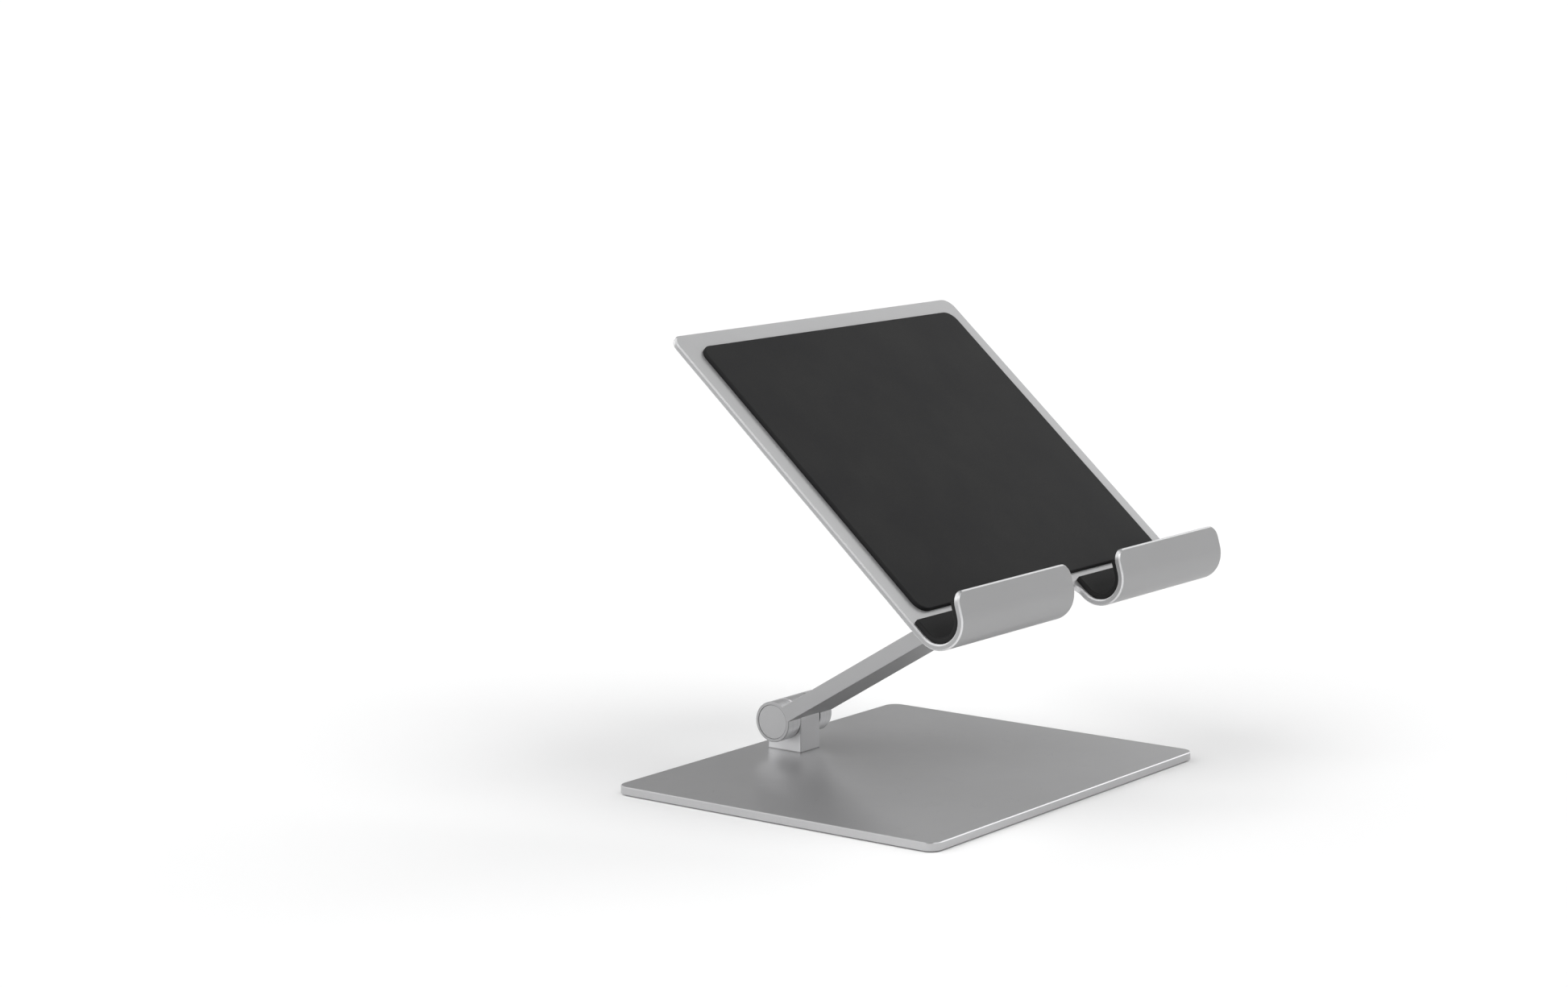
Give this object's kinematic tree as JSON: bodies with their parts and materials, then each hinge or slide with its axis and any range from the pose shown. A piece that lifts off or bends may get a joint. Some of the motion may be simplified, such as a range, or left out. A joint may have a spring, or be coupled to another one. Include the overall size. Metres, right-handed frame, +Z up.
{
  "type": "tablet stand",
  "caption": "Folding desk stand for a tablet: flat base plate, hinged arm and a sloping plate with two hooks for the tablet's lower edge.",
  "frame": {"origin": "centre of the base's footprint, on the underside of the anti-slip pad that the stand rests on", "axes": "+Z up; the user sits at -Y and the base's hinge is at +Y; +X is the user's right, along both hinge lines"},
  "size_m": [0.172, 0.148, 0.1657],
  "materials": {
    "base_anodised": "satin anodised, fine bead blast",
    "holder_anodised": "satin anodised, fine bead blast, bright chamfered edges",
    "arm_anodised": "satin anodised, fine bead blast",
    "block_anodised": "satin anodised, fine bead blast",
    "cap_anodised": "satin anodised disc",
    "zinc_steel": "zinc plated",
    "spring_steel": "tempered, oiled",
    "bronze": "plain phosphor bronze",
    "black_steel": "black oxide",
    "black_silicone": "matt silicone rubber"
  },
  "bodies": {
    "base": {"base_plate": "base_anodised", "base_pad": "black_silicone", "lower_block": "block_anodised", "lower_block_screws": "black_steel"},
    "arm": {"arm": "arm_anodised", "lower_pivot_bolt": "zinc_steel", "lower_lock_nut": "zinc_steel", "lower_disc_springs": "spring_steel", "lower_head_washer": "zinc_steel", "lower_friction_washers": "bronze", "lower_cap_left": "cap_anodised", "lower_cap_right": "cap_anodised", "upper_pivot_bolt": "zinc_steel", "upper_lock_nut": "zinc_steel", "upper_disc_springs": "spring_steel", "upper_head_washer": "zinc_steel", "upper_friction_washers": "bronze", "upper_cap_left": "cap_anodised", "upper_cap_right": "cap_anodised"},
    "holder": {"holder_plate": "holder_anodised", "holder_pad": "black_silicone", "hook_liner_left": "black_silicone", "hook_liner_right": "black_silicone", "upper_block": "block_anodised", "upper_block_screws": "black_steel"}
  },
  "joints": [
    {"name": "lower_hinge", "type": "hinge", "parent": "base", "child": "arm", "pos_m": [0, 0.0535, 0.0155], "axis": [-1, 0, 0], "range_deg": [-29.3, 43.7]},
    {"name": "upper_hinge", "type": "hinge", "parent": "arm", "child": "holder", "pos_m": [0, -0.04134, 0.07317], "axis": [1, 0, 0], "range_deg": [-72.4, 17.6]}
  ]
}
